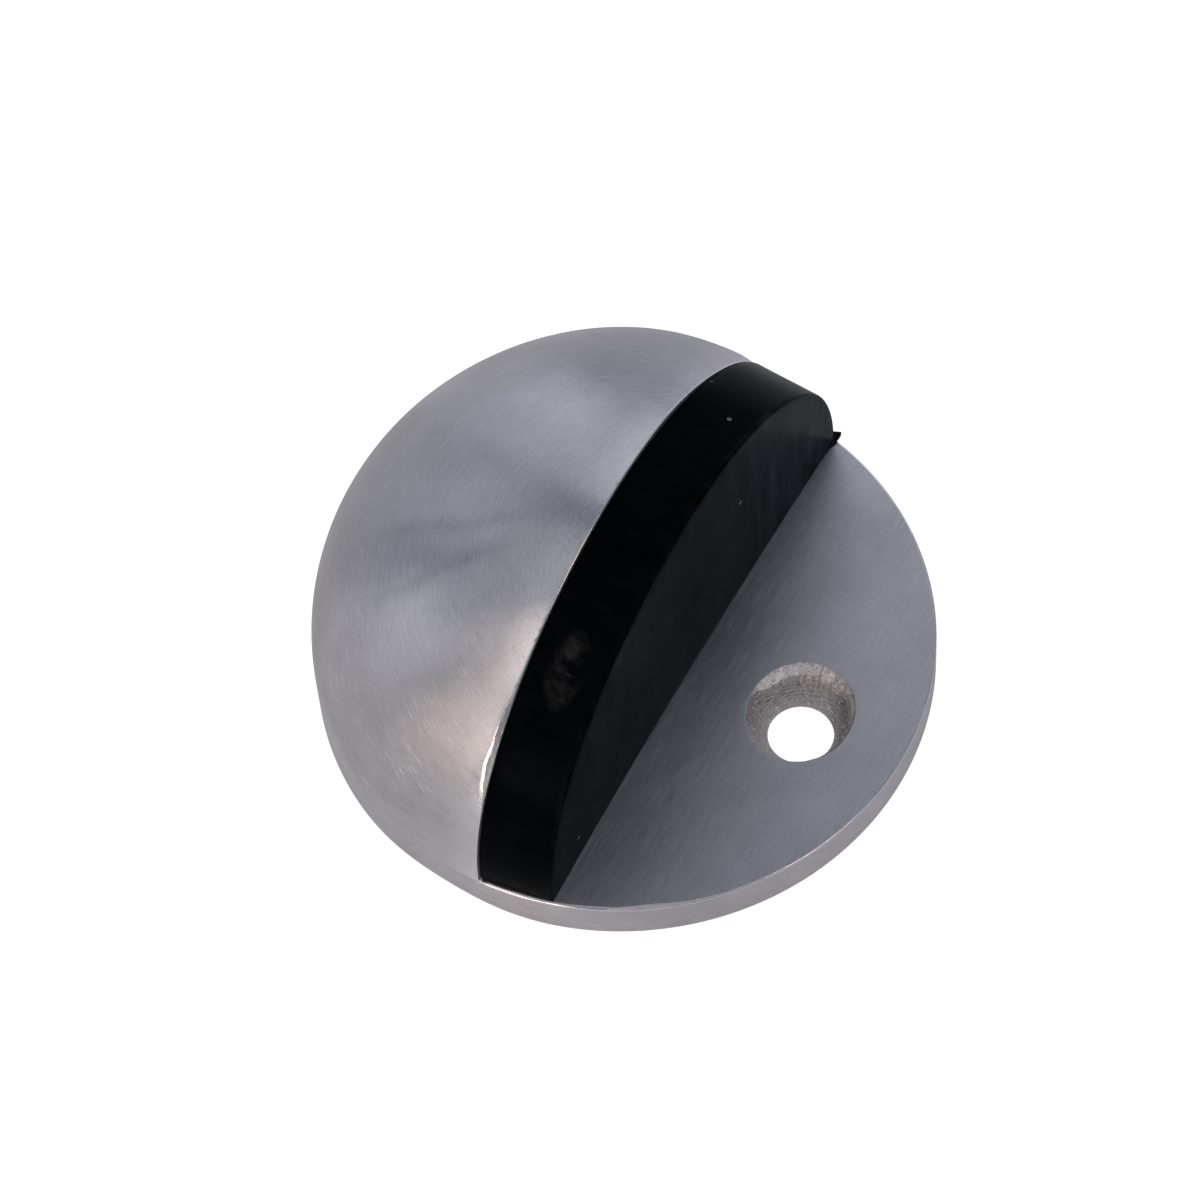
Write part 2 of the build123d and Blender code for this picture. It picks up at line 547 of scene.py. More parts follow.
def core_profile():
    """The hollow under the dome as (radius, height) pairs, from the floor up to its crown."""
    reach = RADIUS - WALL
    crown = HEIGHT - WALL - RIM_HEIGHT
    below = 2.0
    profile = [(0, -below), (reach, -below), (reach, RIM_HEIGHT)]
    for tilt in spread(pi / 2, 0, 28)[1:]:
        profile.append((reach * sin(tilt), RIM_HEIGHT + crown * cos(tilt)))
    return profile


def block(name, low, high):
    """A closed block between two corners, to cut with."""
    shell = Shell()
    (x0, y0, z0), (x1, y1, z1) = low, high
    ring = [(x0, y0), (x1, y0), (x1, y1), (x0, y1)]
    shell.patch([[Vector((x, y, z)) for x, y in ring] for z in (z0, z1)], CAST, closed=True)
    for z in (z0, z1):
        face = shell.bm.faces.new([shell.bm.verts.new((x, y, z)) for x, y in ring])
        face.material_index = CAST
    return shell.build(name)


def cylinder(name, radius, low, high, start, axis=(0, 0, 1)):
    """A cylinder from low to high along an axis through start, to cut with."""
    profile = [(0, low), (radius, low), (radius, high), (0, high)]
    return revolved(name, profile, start, axis, material=CAST)


def hollow_out(body):
    """Cuts the cored underside, the pin's hole and the holes for the buffer's pegs."""
    core = revolved("core", core_profile(), (0, 0, 0), (0, 0, 1), count=120, material=CAST)
    far = 2 * RADIUS
    combine(core, block("front", (CUT_X - WALL, -far, -far), (far, far, far)))
    half_web = WEB_THICKNESS / 2
    combine(core, block("web", (-far, -half_web, WEB_FOOT), (far, half_web, far)))
    combine(core, cylinder("boss", BOSS_RADIUS, -far, far, (PIN_X, 0, 0)))
    combine(body, core)
    combine(body, cylinder("pin_hole", PIN_GRIP_RADIUS, -2, PIN_HOLE_DEPTH, (PIN_X, 0, 0)))
    for side in (-1, 1):
        start = (CUT_X - WALL - 1, side * PEG_Y, PEG_Z)
        combine(body, cylinder("peg_hole", PEG_HOLE_RADIUS, 0, WALL + 2, start, (1, 0, 0)))


def mend(piece):
    """Welds the slivers that the booleans leave and closes any hole they open."""
    bm = bmesh.new()
    bm.from_mesh(piece.data)
    bmesh.ops.remove_doubles(bm, verts=bm.verts, dist=0.02 * MM)
    bmesh.ops.dissolve_degenerate(bm, edges=bm.edges, dist=0.005 * MM)
    gaps = [edge for edge in bm.edges if edge.is_boundary]
    if gaps:
        bmesh.ops.holes_fill(bm, edges=gaps)
    bm.to_mesh(piece.data)
    bm.free()


# ------------------------------------------------------------------ rubber buffer: shape
# How far the buffer lies inside the dome's outline: at its back, and at its front to the sides and on top.
BACK_INSET = 0.3
FRONT_INSET = 0.95
FRONT_DROP = 0.6
# How much further in its far shoulder lies, at its back and at its front.
FAR_BACK_INSET = 0.40
FAR_FRONT_INSET = 0.16
BACK_ROUNDING = 0.12
FRONT_ROUNDING = 0.22
BUFFER_COLUMNS = 220
# How far the middle of the front face is bowed back at the plate.
FACE_BOW = 0.38


def buffer_outline(share, shrink):
    """The buffer's outline at a share of the way to its front, pulled in by shrink, as (y, z) pairs."""
    half = RADIUS - BACK_INSET + (BACK_INSET - FRONT_INSET) * share - shrink
    top = HEIGHT - BACK_INSET + (BACK_INSET - FRONT_DROP) * share - shrink
    side = [(half, z) for z in spread(PLATE_TOP, RIM_HEIGHT, 4)]
    arch = []
    for turn in spread(0, pi, BUFFER_COLUMNS)[1:-1]:
        far = bump(radians(42), radians(26), turn)
        pull = far * (FAR_BACK_INSET + (FAR_FRONT_INSET - FAR_BACK_INSET) * share)
        wide, tall = half - pull, top - RIM_HEIGHT - pull
        arch.append((wide * cos(turn), RIM_HEIGHT + tall * sin(turn)))
    other = [(-y, z) for y, z in reversed(side)]
    return side + arch + other


def bowed(point):
    """Pulls the middle of the front face back towards the dome, most at the plate."""
    share = smooth(CUT_X + 2.0, FRONT_X, point.x)
    across = max(0.0, 1 - (point.y / RADIUS) ** 2)
    up = max(0.0, 1 - (point.z - PLATE_TOP) / (HEIGHT - PLATE_TOP))
    return point - Vector((FACE_BOW * across * up * share, 0, 0))


# Torn flake of moulding flash at the far end of the buffer's foot, as (x, y, z) corners.
TAB_TOP = [(4.4, 20.6, 4.9), (5.6, 21.8, 4.2), (6.2, 22.2, 3.95), (6.15, 21.4, 3.7), (5.9, 20.6, 3.9)]
TAB_FOOT_DROP = 0.9


def flash_tab():
    """The flake: a small wedge that stands out past the buffer's far end, just above the plate."""
    shell = Shell()
    low = [Vector((x, y - 0.1, max(z - TAB_FOOT_DROP, PLATE_TOP + 0.01))) for x, y, z in TAB_TOP]
    high = [Vector(point) for point in TAB_TOP]
    shell.patch([low, high], closed=True)
    for ring in (low, high):
        middle = sum(ring, Vector()) / len(ring)
        shell.patch([ring, [middle] * len(ring)], closed=True)
    return shell.build("flash_tab")


def buffer_rings():
    """(x, shrink) pairs from the buffer's rounded back edge to its rounded front edge."""
    rings = []
    for share in spread(0, 1, 4):
        turn = share * pi / 2
        rings.append((CUT_X + 0.02 + BACK_ROUNDING * (1 - cos(turn)), BACK_ROUNDING * (1 - sin(turn))))
    for x in spread(CUT_X + 0.6, FRONT_X - FRONT_ROUNDING - 0.3, 8):
        rings.append((x, 0.0))
    for share in spread(0, 1, 7):
        turn = share * pi / 2
        rings.append((FRONT_X - FRONT_ROUNDING * (1 - sin(turn)), FRONT_ROUNDING * (1 - cos(turn))))
    return rings


def peg_profile():
    """A moulded peg as (radius, X) pairs: its root in the buffer, its stem and its enlarged head."""
    root = CUT_X + 1.0
    shoulder = CUT_X - WALL - 0.1
    tip = shoulder - PEG_HEAD_LENGTH
    blend = 0.25
    return [
        (0, root),
        (PEG_RADIUS, root),
        (PEG_RADIUS, shoulder),
        (PEG_HEAD_RADIUS - blend, shoulder),
        (PEG_HEAD_RADIUS, shoulder - blend),
        (PEG_HEAD_RADIUS, tip + PEG_HEAD_CHAMFER),
        (PEG_HEAD_RADIUS - PEG_HEAD_CHAMFER, tip),
        (0, tip),
    ]


def make_buffer():
    """The moulded buffer with its two pegs and the flake of flash at its foot."""
    rows = []
    for x, shrink in buffer_rings():
        row = []
        for y, z in buffer_outline((x - CUT_X) / BUFFER_THICKNESS, shrink):
            soft = 0.02 * wave(x, y, z, 5, 11)
            out = Vector((0, y, z - RIM_HEIGHT)).normalized() if z > RIM_HEIGHT else Vector((0, 0, 0))
            row.append(Vector((x, y, z)) + out * soft)
        rows.append(row)
    foot = [[row[0].lerp(row[-1], share) for share in spread(0, 1, 80)] for row in rows]
    shell = Shell()
    for patch in (rows, foot):
        shell.patch([[bowed(point) for point in row] for row in patch])
    for row, line, spacing in ((rows[0], foot[0], None), (rows[-1], foot[-1], 0.9)):
        outline = [point.yz for point in row] + [point.yz for point in reversed(line[1:-1])]
        shell.sheet(outline, [], lambda y, z, x=row[0].x: bowed(Vector((x, y, z))), spacing)
    buffer = shell.build("buffer_moulding")
    combine(buffer, flash_tab(), "UNION")
    for side in (-1, 1):
        peg = revolved("peg", peg_profile(), (0, side * PEG_Y, PEG_Z), (1, 0, 0))
        combine(buffer, peg, "UNION")
    return buffer


# ------------------------------------------------------------------ materials: small node helpers
class Nodes:
    """Builds the node tree of a new material or world with short calls."""

    def __init__(self, owner, surface="Principled BSDF"):
        owner.use_nodes = True
        self.owner = owner
        self.tree = owner.node_tree
        self.surface = self.tree.nodes[surface]

    def node(self, kind, *values, **settings):
        """A new node of a kind, with its settings, whose first inputs are fed with the values."""
        made = self.tree.nodes.new("ShaderNode" + kind)
        for key, setting in settings.items():
            setattr(made, key, setting)
        for socket, value in zip(made.inputs, values):
            self.put(socket, value)
        return made

    def put(self, socket, value):
        """Feeds a socket from another socket or sets its plain value."""
        if hasattr(value, "is_output"):
            self.tree.links.new(value, socket)
        else:
            socket.default_value = value

    def finish(self, inputs):
        """Feeds the surface's inputs, by name, and returns the material or world."""
        for name, value in inputs.items():
            self.put(self.surface.inputs[name], value)
        return self.owner

    def coordinates(self):
        return self.node("TexCoord").outputs["Object"]

    def math(self, operation, first, second=0.0):
        return self.node("Math", first, second, operation=operation).outputs[0]

    def add(self, first, second):
        return self.math("ADD", first, second)

    def minus(self, first, second):
        return self.math("SUBTRACT", first, second)

    def times(self, first, second):
        return self.math("MULTIPLY", first, second)

    def vector_math(self, operation, first, second=(0, 0, 0)):
        return self.node("VectorMath", first, second, operation=operation).outputs["Vector"]

    def stretch(self, vector, factors):
        return self.vector_math("MULTIPLY", vector, factors)

    def dot(self, first, second):
        return self.node("VectorMath", first, second, operation="DOT_PRODUCT").outputs["Value"]

    def combine(self, x, y, z):
        return self.node("CombineXYZ", x, y, z).outputs[0]

    def separate(self, vector):
        return self.node("SeparateXYZ", vector).outputs

    def noise(self, vector, scale, detail=2.0, roughness=0.5):
        made = self.node("TexNoise", vector)
        made.inputs["Scale"].default_value = scale
        made.inputs["Detail"].default_value = detail
        made.inputs["Roughness"].default_value = roughness
        return made.outputs[0]

    def map(self, value, from_low, from_high, to_low=0.0, to_high=1.0):
        """Turns one range of values into another. Values outside it are held at its ends."""
        return self.node("MapRange", value, from_low, from_high, to_low, to_high).outputs[0]

    def swing(self, noise_value, low, high):
        """Noise, whose values lie about 0.5, turned into a swing from low to high."""
        return self.map(noise_value, 0.3, 0.7, low, high)

    def mix(self, factor, first, second):
        made = self.node("Mix", factor, data_type="RGBA")
        self.put(made.inputs[6], first)
        self.put(made.inputs[7], second)
        return made.outputs[2]

    def vector_mix(self, factor, first, second):
        made = self.node("Mix", factor, data_type="VECTOR")
        self.put(made.inputs[4], first)
        self.put(made.inputs[5], second)
        return made.outputs[1]

    def bump(self, height, distance, strength):
        """Relief whose full height is distance, in metres."""
        made = self.node("Bump", strength, distance)
        self.put(made.inputs["Height"], height)
        return made.outputs["Normal"]


def material_nodes(name):
    return Nodes(bpy.data.materials.new(name))


def grey(level, warmth=0.0):
    """A linear grey, a little warm for positive warmth and cool for negative."""
    return (level * (1 + warmth), level, level * (1 - warmth), 1.0)


# ------------------------------------------------------------------ materials: the finishes
STEEL = 0.60
RIM_STEEL = 0.68
# Green and blue against red, which make the steel's slight pinkish cast.
STEEL_GREEN = 0.945
STEEL_BLUE = 1.01
# The dome was brushed in rings about an axis that leans towards the plate and the near side.
BRUSH_AXIS = Vector((0.29, -0.12, 0.95)).normalized()
UPRIGHT = Vector((0, 0, 1))
# How far above the plate the dome's finish has blended fully out of the rim's.
RIM_BLEND = 3.5
# A quarter turn, which puts a highlight's long side across the brush lines.
ACROSS_BRUSH = 0.25
# How deep the brush lines are, in millimetres.
BRUSH_DEPTH = 0.012


def brushed_steel(name, axis=None, level=STEEL, roughness=0.34, anisotropy=0.8, relief=0.7, dome=False):
    """Satin steel, brushed in rings about an axis or, without one, straight along Y.

    The dome's finish also has its own wear, painted shade and painted highlight, and takes on the rim's tone
    and brush lines near the rim.
    """
    nodes = material_nodes(name)
    place = nodes.coordinates()
    lines = ring_lines(nodes, place, axis) if axis else straight_lines(nodes, place)
    tangent = ring_tangent(nodes, axis) if axis else nodes.combine(0.0, 1.0, 0.0)
    fine = nodes.noise(lines, 1.0, detail=3.0, roughness=0.65)
    cloud = nodes.noise(place, 130.0, detail=3.0, roughness=0.55)
    grain = nodes.noise(place, 3500.0, detail=1.0)
    broad = nodes.noise(place, 55.0, detail=1.0)
    tone = nodes.add(nodes.swing(fine, -0.09, 0.09), nodes.swing(cloud, -0.06, 0.06))
    tone = nodes.add(tone, nodes.swing(grain, -0.02, 0.02))
    shade = nodes.add(tone, level)
    rough = nodes.add(nodes.swing(fine, -0.04, 0.05), nodes.swing(broad, -0.03, 0.03))
    rough = nodes.add(rough, roughness)
    height = fine
    if dome:
        rim = nodes.map(nodes.separate(place)[2], PLATE_TOP * MM, (PLATE_TOP + RIM_BLEND) * MM, 1.0, 0.0)
        tangent = nodes.vector_mix(rim, tangent, ring_tangent(nodes, UPRIGHT))
        shade = nodes.add(shade, nodes.times(rim, RIM_STEEL - level))
        shade, rough, height = dome_wear(nodes, place, lines, shade, rough, height)
    green = nodes.times(shade, STEEL_GREEN)
    blue = nodes.times(shade, STEEL_BLUE)
    return nodes.finish({
        "Base Color": nodes.node("CombineColor", shade, green, blue).outputs[0],
        "Metallic": 1.0,
        "Roughness": rough,
        "Anisotropic": anisotropy,
        "Anisotropic Rotation": ACROSS_BRUSH,
        "Tangent": tangent,
        "Normal": nodes.bump(height, BRUSH_DEPTH * MM, relief),
    })


def dome_wear(nodes, place, lines, shade, rough, height):
    """Lays the dome's scratches, dark streaks, painted shade, and polished places with painted highlight
    over its brushed finish.
    """
    scratch = dome_scratches(nodes, place, lines)
    shade = nodes.add(shade, nodes.times(scratch, 0.28))
    rough = nodes.add(rough, nodes.times(scratch, 0.12))
    height = nodes.minus(height, nodes.times(scratch, 1.2))
    # Darker along two faint streaks, and painted shade in a broad wedge beside the highlight.
    shade = nodes.minus(shade, nodes.times(dome_streaks_and_shade(nodes, place), 0.09))
    polish_and_highlight = dome_polish_and_highlight(nodes, place)
    # Painted highlight: the smoother places are also painted lighter.
    shade = nodes.add(shade, nodes.times(polish_and_highlight, 0.10))
    rough = nodes.minus(rough, nodes.times(polish_and_highlight, 0.10))
    return shade, rough, height


def ring_lines(nodes, place, axis):
    """Brush lines that run round an axis: long along the turn, fine up the slope."""
    side = axis.orthogonal().normalized()
    other = axis.cross(side)
    x, y, z = (nodes.dot(place, tuple(direction)) for direction in (side, other, axis))
    radius = nodes.math("SQRT", nodes.add(nodes.times(x, x), nodes.times(y, y)))
    turn = nodes.math("ARCTAN2", y, x)
    slope = nodes.minus(radius, z)
    wander = nodes.map(nodes.noise(place, 260.0, detail=1.0), 0.0, 1.0, -0.0004, 0.0004)
    across = nodes.times(nodes.add(slope, wander), 8000.0)
    return nodes.combine(nodes.times(turn, 9.0), across, 0.0)


def dome_scratches(nodes, place, lines):
    """Sparse lighter scratches at three slants, thickest on the dome's near flank."""
    along, across = nodes.separate(lines)[0:2]
    marks = None
    for slant, offset in ((-2.0, 40.0), (0.0, 0.0), (2.4, 80.0)):
        leaning = nodes.add(across, nodes.times(along, slant))
        stretched = nodes.combine(nodes.times(along, 1.3), nodes.times(leaning, 0.42), offset)
        layer = nodes.map(nodes.noise(stretched, 1.0, detail=1.0), 0.65, 0.74)
        marks = layer if marks is None else nodes.math("MAXIMUM", marks, layer)
    y = nodes.separate(place)[1]
    near = nodes.map(y, -0.022, -0.004, 1.0, 0.10)
    patches = nodes.map(nodes.noise(place, 240.0, detail=1.0), 0.42, 0.62, 0.10, 1.0)
    return nodes.times(marks, nodes.times(near, patches))


def dome_polish_and_highlight(nodes, place):
    """The dome is handled smoother along its cut edge, most at its near end, and is painted lighter there as
    a painted highlight.
    """
    x, y = nodes.separate(place)[0:2]
    edge = nodes.map(x, -2.2 * MM, 0.3 * MM)
    near_edge = nodes.map(x, -5.0 * MM, 0.0)
    near_end = nodes.map(y, -19.0 * MM, -16.0 * MM, 1.0, 0.0)
    return nodes.add(edge, nodes.times(near_edge, near_end))


# Faint dark streaks on the dome, straight in plan; the broad third one is painted shade: Y at X = 0, slope,
# X range, half width, strength.
DARK_STREAKS_AND_SHADE = [
    (-3.5, 0.33, -15.0, -4.0, 1.3, 1.0),
    (-4.5, 0.62, -13.0, -4.0, 1.3, 1.0),
    (-7.7, 0.72, -7.0, 1.0, 2.2, 0.35),
]


def dome_streaks_and_shade(nodes, place):
    """Where the dark streaks and the painted shade lie. They wander a little and fade towards their ends."""
    x, y = nodes.separate(place)[0:2]
    wander = nodes.map(nodes.noise(place, 170.0, detail=1.0), 0.0, 1.0, -0.9 * MM, 0.9 * MM)
    fade = 2.5 * MM
    total = None
    for at_zero, slope, left, right, half_width, strength in DARK_STREAKS_AND_SHADE:
        line = nodes.add(nodes.times(x, slope), at_zero * MM)
        offset = nodes.math("ABSOLUTE", nodes.add(nodes.minus(y, line), wander))
        mark = nodes.map(offset, 0.1 * MM, half_width * MM, strength, 0.0)
        from_left = nodes.map(x, left * MM - fade, left * MM + fade)
        to_right = nodes.map(x, right * MM - fade, right * MM + fade, 1.0, 0.0)
        mark = nodes.times(mark, nodes.times(from_left, to_right))
        total = mark if total is None else nodes.math("MAXIMUM", total, mark)
    return nodes.math("POWER", total, 1.6)


def straight_lines(nodes, place):
    """Brush lines along Y on the plate."""
    x, y, z = nodes.separate(place)[0:3]
    wander = nodes.map(nodes.noise(place, 180.0, detail=1.0), 0.0, 1.0, -0.0003, 0.0003)
    across = nodes.times(nodes.add(x, wander), 7000.0)
    return nodes.combine(across, nodes.times(y, 320.0), z)


def ring_tangent(nodes, axis):
    normal = nodes.node("NewGeometry").outputs["Normal"]
    turned = nodes.vector_math("CROSS_PRODUCT", tuple(axis), normal)
    return nodes.vector_math("NORMALIZE", turned)


# Linear colours of the countersink: its cone; painted light on the cone's far side and painted shade on its
# right side; its lip, partly painted highlight; and white flecks, painted glints.
CONE_DARK = (0.42, 0.385, 0.39, 1)
CONE_LIGHT = (0.78, 0.73, 0.74, 1)
CONE_FAR_LIT = (0.96, 0.89, 0.91, 1)
CONE_SHADED = (0.20, 0.18, 0.19, 1)
LIP_DARK = (0.62, 0.56, 0.57, 1)
LIP_LIGHT = (1.0, 0.93, 0.94, 1)
GLINT_FLECK = (1.0, 0.95, 0.95, 1)


def machined_steel():
    """The countersink's bare cone: rough, brownish grey, with torn grain sparkling as white flecks of
    painted glints, a paler torn lip that is partly painted highlight, painted light on its far side and
    painted shade on its right side.
    """
    nodes = material_nodes("machined_steel")
    place = nodes.coordinates()
    centred = nodes.vector_math("SUBTRACT", place, (HOLE_X * MM, 0.0, 0.0))
    x, y, z = nodes.separate(centred)[0:3]
    turn = nodes.math("ARCTAN2", y, x)
    rings = nodes.combine(nodes.times(turn, 3.0), nodes.times(z, 5200.0), 0.0)
    ring_noise = nodes.noise(rings, 1.0, detail=3.0, roughness=0.7)
    grain = nodes.noise(place, 4200.0, detail=2.0, roughness=0.6)
    both = nodes.times(nodes.add(ring_noise, grain), 0.5)
    top = nodes.map(z, (PLATE_TOP - 1.1) * MM, (PLATE_TOP - 0.3) * MM)
    far_side = nodes.map(y, -0.5 * MM, 2.0 * MM)
    lip = nodes.times(top, far_side)
    colour = nodes.mix(nodes.map(both, 0.35, 0.65), CONE_DARK, CONE_LIGHT)
    # Painted light: the cone's far side is painted brighter.
    colour = nodes.mix(nodes.times(far_side, 0.15), colour, CONE_FAR_LIT)
    # Painted shade: the cone's right side is painted darker.
    colour = nodes.mix(nodes.map(x, 0.5 * MM, 3.2 * MM, 0.0, 0.75), colour, CONE_SHADED)
    # The torn lip's crumbly grain is painted paler than the cone: partly its own grain, partly painted
    # highlight.
    crumbs_and_highlight = nodes.mix(nodes.map(grain, 0.36, 0.52), LIP_DARK, LIP_LIGHT)
    colour = nodes.mix(lip, colour, crumbs_and_highlight)
    # White specks in the colour: painted glints of the torn grain.
    glint_flecks = nodes.map(nodes.noise(place, 5000.0, detail=0.0), 0.66, 0.74)
    return nodes.finish({
        "Base Color": nodes.mix(glint_flecks, colour, GLINT_FLECK),
        "Metallic": nodes.map(lip, 0.0, 1.0, 1.0, 0.6),
        "Roughness": nodes.swing(grain, 0.30, 0.50),
        "Normal": nodes.bump(both, 0.09 * MM, nodes.map(lip, 0.0, 1.0, 1.0, 0.8)),
    })


def plain_steel(name, pattern, dark, light, roughness, relief):
    """Steel without brush lines: its grey, roughness and relief follow the patterns for tone and grain."""
    nodes = material_nodes(name)
    tone, grain = pattern(nodes, nodes.coordinates())
    return nodes.finish({
        "Base Color": nodes.mix(nodes.swing(tone, 0.0, 1.0), dark, light),
        "Metallic": 1.0,
        "Roughness": nodes.swing(grain, *roughness),
        "Normal": nodes.bump(grain, *relief),
    })


def cast_steel():
    """The unfinished inside of the casting: stained and pitted."""

    def pattern(nodes, place):
        pits = nodes.noise(place, 1800.0, detail=4.0, roughness=0.6)
        return nodes.noise(place, 160.0), pits

    dark = (0.26, 0.255, 0.25, 1)
    light = (0.36, 0.355, 0.35, 1)
    return plain_steel("raw_casting", pattern, dark, light, (0.5, 0.7), (0.08 * MM, 0.8))


def pin_steel():
    """Ground dowel steel with fine lengthwise marks."""

    def pattern(nodes, place):
        marks = nodes.noise(nodes.stretch(place, (3000.0, 3000.0, 300.0)), 1.0)
        return marks, marks

    return plain_steel("ground_pin", pattern, grey(0.42), grey(0.52), (0.22, 0.36), (0.01 * MM, 0.6))


# Linear colours of the rubber: clean, with flow streaks, painted reflection streaks, a scuff that is partly
# painted reflection, and its dust.
RUBBER = (0.0010, 0.0012, 0.0017, 1)
STREAKED = (0.0020, 0.0027, 0.0038, 1)
REFLECTION_STREAKS = (0.024, 0.034, 0.052, 1)
SCUFF_AND_REFLECTION = (0.085, 0.072, 0.072, 1)
DUST = (0.20, 0.20, 0.21, 1)
# The scuffed patch on the rounded edge, its colour partly painted reflection: its middle in X and Y, and its
# half sizes.
SCUFF_X = 3.1
SCUFF_Y = -12.6
SCUFF_HALF_X = 1.5
SCUFF_HALF_Y = 2.6


def scuff_and_reflection(nodes, place):
    """A faint scuffed patch on the buffer's rounded edge, broken into short strokes, its colour partly
    painted reflection of the key lamp.
    """
    x, y = nodes.separate(place)[0:2]
    off_x = nodes.math("DIVIDE", nodes.minus(x, SCUFF_X * MM), SCUFF_HALF_X * MM)
    off_y = nodes.math("DIVIDE", nodes.minus(y, SCUFF_Y * MM), SCUFF_HALF_Y * MM)
    away = nodes.add(nodes.math("POWER", off_x, 2.0), nodes.math("POWER", off_y, 2.0))
    leaning = nodes.add(y, nodes.times(x, 0.7))
    broken = None
    for along, across in ((x, y), (y, leaning)):
        strokes = nodes.combine(nodes.times(along, 260.0), nodes.times(across, 2600.0), 0.0)
        lines = nodes.map(nodes.noise(strokes, 1.0, detail=3.0), 0.50, 0.74, 0.35, 1.0)
        broken = lines if broken is None else nodes.math("MAXIMUM", broken, lines)
    cloud = nodes.map(nodes.noise(place, 520.0, detail=3.0, roughness=0.65), 0.38, 0.60)
    soft = nodes.times(nodes.map(away, 0.0, 1.0, 0.8, 0.0), nodes.times(broken, cloud))
    on_edge = nodes.map(x, (FRONT_X - 0.3) * MM, (FRONT_X - 0.05) * MM, 1.0, 0.0)
    return nodes.times(soft, on_edge)


def face_reflection_streaks(nodes, place):
    """Painted reflection streaks on the buffer's front face, which thicken towards its far end."""
    x, y = nodes.separate(place)[0:2]
    streaky = nodes.noise(nodes.stretch(place, (200.0, 700.0, 120.0)), 1.0, detail=3.0, roughness=0.6)
    painted_streaks = nodes.times(nodes.map(streaky, 0.42, 0.72), nodes.map(y, 4.0 * MM, 18.0 * MM, 0.15, 1.0))
    return nodes.times(painted_streaks, nodes.map(x, (FRONT_X - 0.6) * MM, (FRONT_X - 0.3) * MM))


def dust_specks(nodes, place):
    """A few light specks: the cores of some of a cell pattern's cells."""
    cells = nodes.node("TexVoronoi", place)
    cells.inputs["Scale"].default_value = 420.0
    core = nodes.map(cells.outputs["Distance"], 0.06, 0.09, 1.0, 0.0)
    return nodes.times(core, nodes.map(nodes.noise(place, 300.0, detail=0.0), 0.55, 0.57))


def black_rubber():
    """Smooth moulded rubber, near black, with faint flow streaks, painted reflection streaks, a scuffed
    patch that is partly painted reflection, and dust.
    """
    nodes = material_nodes("moulded_rubber")
    place = nodes.coordinates()
    flow = nodes.noise(nodes.stretch(place, (300.0, 900.0, 90.0)), 1.0)
    cloud = nodes.noise(place, 220.0)
    skin = nodes.noise(place, 5200.0)
    colour = nodes.mix(nodes.map(flow, 0.35, 0.7), RUBBER, STREAKED)
    # Painted reflection: bluish streaks on the front face.
    colour = nodes.mix(face_reflection_streaks(nodes, place), colour, REFLECTION_STREAKS)
    # Scuffed patch, its warm colour partly painted reflection.
    colour = nodes.mix(scuff_and_reflection(nodes, place), colour, SCUFF_AND_REFLECTION)
    colour = nodes.mix(dust_specks(nodes, place), colour, DUST)
    rough = nodes.add(nodes.swing(cloud, -0.04, 0.05), nodes.swing(flow, -0.02, 0.02))
    return nodes.finish({
        "Base Color": colour,
        "Roughness": nodes.add(rough, 0.25),
        "Specular IOR Level": 0.018,
        "Specular Tint": (0.55, 0.75, 1.0, 1.0),
        "Normal": nodes.bump(skin, 0.01 * MM, 0.35),
    })


# ------------------------------------------------------------------ build the object
body = make_body()
for finish in (
    brushed_steel("brushed_round", BRUSH_AXIS, dome=True),
    brushed_steel("brushed_straight", relief=0.5),
    brushed_steel("turned_rim", UPRIGHT, level=RIM_STEEL),
    brushed_steel("burnished_edge", UPRIGHT, level=0.85, roughness=0.14, anisotropy=0.3),
    machined_steel(),
    cast_steel(),
    brushed_steel("chipped_edge", UPRIGHT, level=0.66, anisotropy=0.2),
    brushed_steel("softened_edge", UPRIGHT, level=0.80, roughness=0.50, anisotropy=0.4),
):
    body.data.materials.append(finish)
hollow_out(body)
mend(body)
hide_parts("body")
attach(body, "root")

buffer = make_buffer()
mend(buffer)
buffer.data.materials.clear()
buffer.data.materials.append(black_rubber())
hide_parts("rubber_buffer")
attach(buffer, "root")

pin = frame["nodes"]["locating_pin"]
pin.data.materials.clear()
pin.data.materials.append(pin_steel())

# ------------------------------------------------------------------ floor, light and camera
FLOOR_HALF = 3.0
FLOOR_GAP = 0.00003
FLOOR_WHITE = 0.92
FLOOR_GLOW = 0.25
SKY_WHITE = 1.02
SKY_DIM = 0.23
LAMP_DISTANCE = 0.9
# Each lamp's name, azimuth and elevation, half angle, level and, where it isn't neutral, warmth.
LAMPS = [
    ("key", -28, 51, 13, 0.92, 0.12),
    ("key_low", -18, 27, 13, 0.45, 0.12),
    ("front_low", 0, 8, 12, 2.6, 0.25),
    ("front_left_low", -30, 10, 14, 0.65, 0.20),
    ("right", 90, 46, 12, 1.25, 0.15),
    ("top", 90, 84, 14, 0.25, 0.30),
    ("rear", 205, 44, 22, 0.38, -0.02),
    ("rear_low", 180, 18, 14, 0.30, -0.10),
    ("rear_left", 228, 18, 14, 0.45, -0.05),
    ("left", 256, 30, 18, 0.26),
    ("left_high", 285, 60, 16, 0.28),
    ("left_low", 298, 18, 16, 0.5),
]


def camera_or_object(nodes, seen, lit):
    """A strength that is seen by the camera and another one that lights the object."""
    ray = nodes.node("LightPath").outputs["Is Camera Ray"]
    return nodes.map(ray, 0.0, 1.0, lit, seen)


